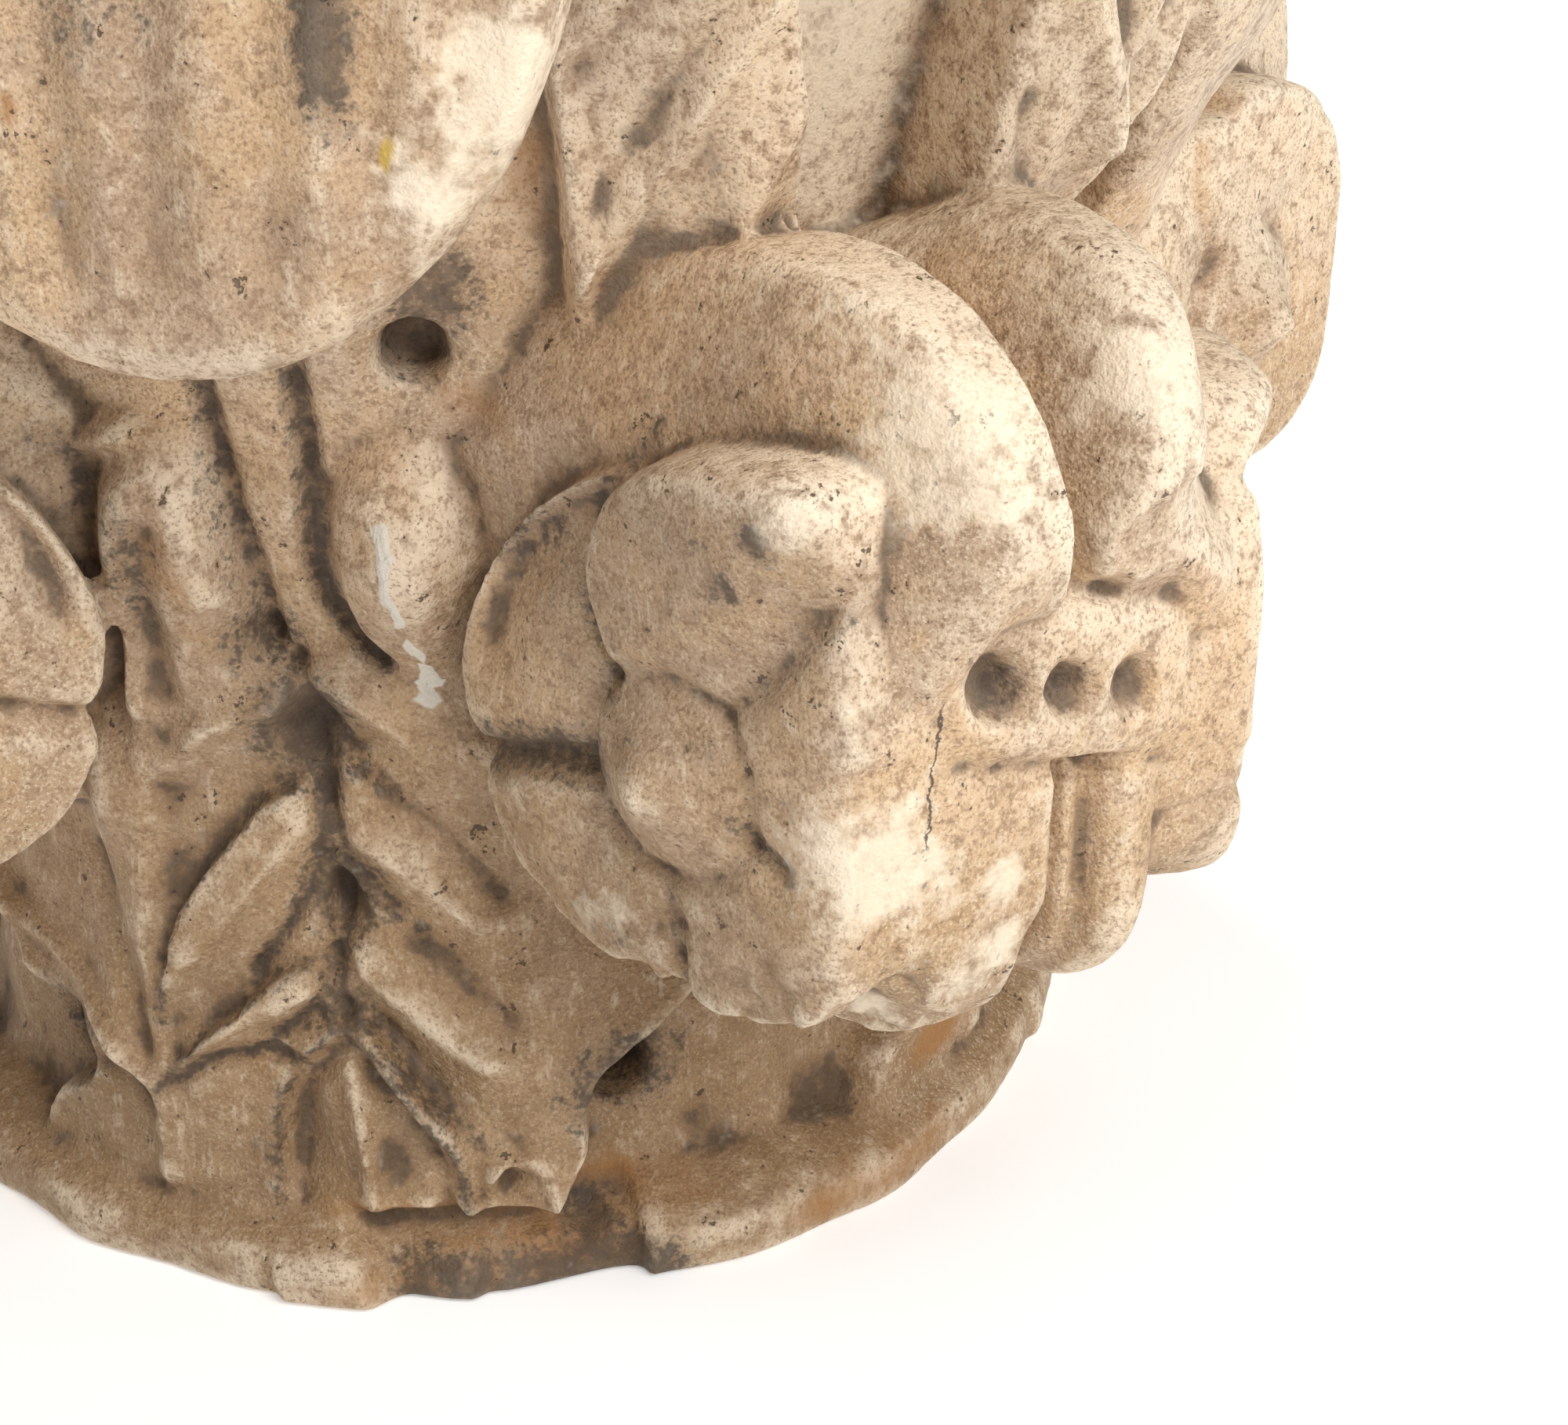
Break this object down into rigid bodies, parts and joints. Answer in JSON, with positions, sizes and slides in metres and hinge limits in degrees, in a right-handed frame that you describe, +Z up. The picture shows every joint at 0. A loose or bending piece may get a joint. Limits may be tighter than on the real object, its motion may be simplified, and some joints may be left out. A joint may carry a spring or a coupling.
{
  "type": "column capital",
  "caption": "Carved stone column capital with corner scrolls, five-petal flowers, overlapping leaves and a hollow-sided top slab, worn and chipped.",
  "frame": {"origin": "centre of the round bottom bed, where the capital rests on its column shaft", "axes": "+Z up along the column's axis, through the centre of the top slab; -Y is the front face shown to the left in the picture, and the near corner scroll points between -Y and +X"},
  "size_m": [0.3769, 0.3874, 0.338],
  "materials": {
    "marble": "weathered, matte"
  },
  "bodies": {
    "root": {"capital": "marble"}
  },
  "joints": []
}
